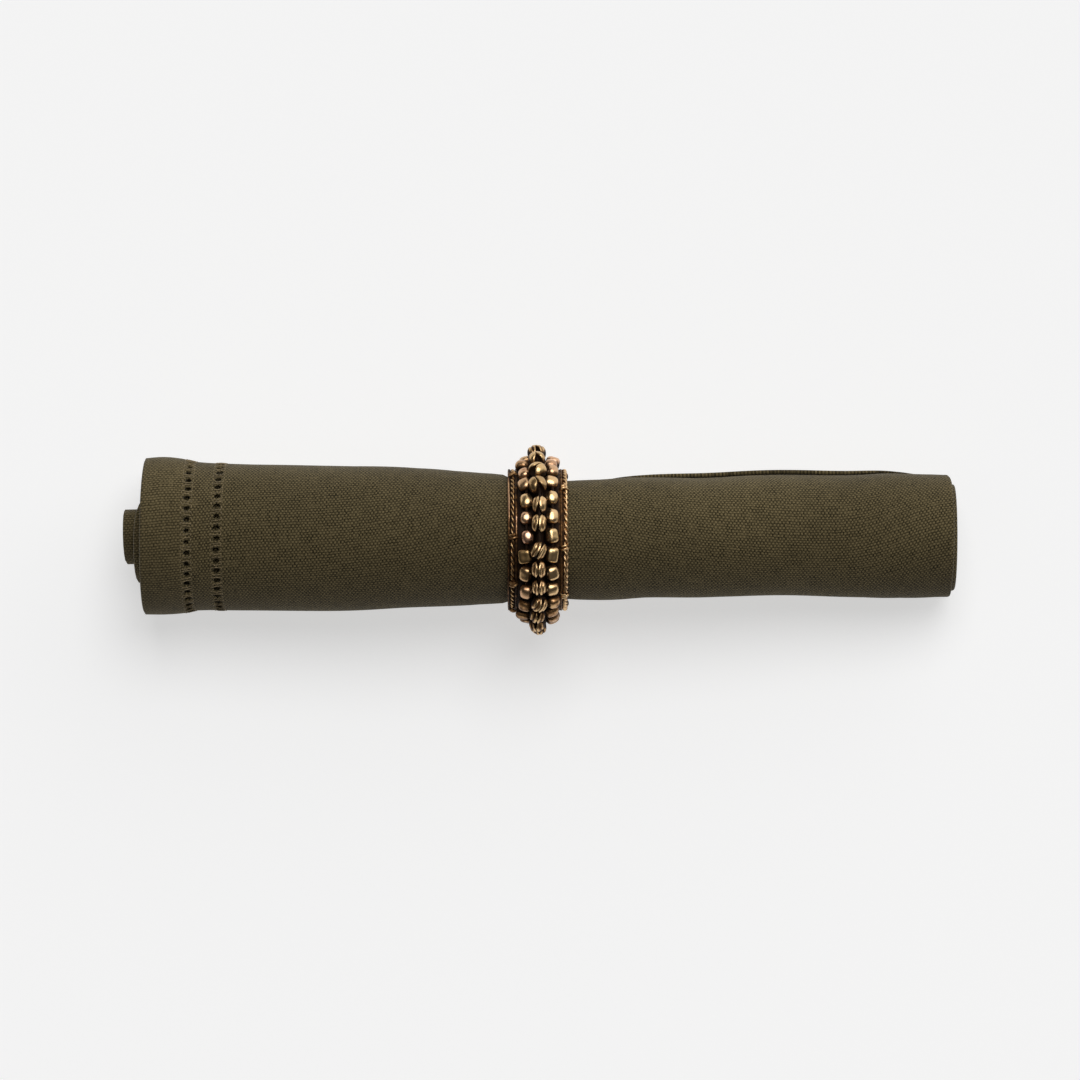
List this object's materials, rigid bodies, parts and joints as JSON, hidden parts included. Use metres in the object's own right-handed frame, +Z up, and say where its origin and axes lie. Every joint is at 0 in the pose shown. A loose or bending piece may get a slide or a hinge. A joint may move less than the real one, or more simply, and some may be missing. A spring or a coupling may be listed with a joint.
{
  "type": "rolled napkin in a beaded napkin ring",
  "caption": "Square cotton table napkin with hemstitched hems, folded in half, rolled into a cylinder and held at its middle by a beaded brass napkin ring.",
  "frame": {"origin": "on the surface it lies on, under the middle of its bounding box", "axes": "+X along the roll from the hems to the fold, +Z up; the loose edge of the cloth is on the +Y side"},
  "size_m": [0.263, 0.0592, 0.0592],
  "materials": {
    "cloth": "matt plain-woven cotton, dark olive brown",
    "band": "dark antiqued, brown-black in the hollows",
    "rim": "antiqued twisted wire, worn bright on its top",
    "bead": "antiqued, polished on top, some beads coppery"
  },
  "bodies": {
    "root": {"napkin": "cloth", "ring_band": "band", "rim_wire_left": "rim", "rim_wire_right": "rim", "bead_row_left": "bead", "bead_row_middle": "bead", "bead_row_right": "bead"}
  },
  "joints": []
}
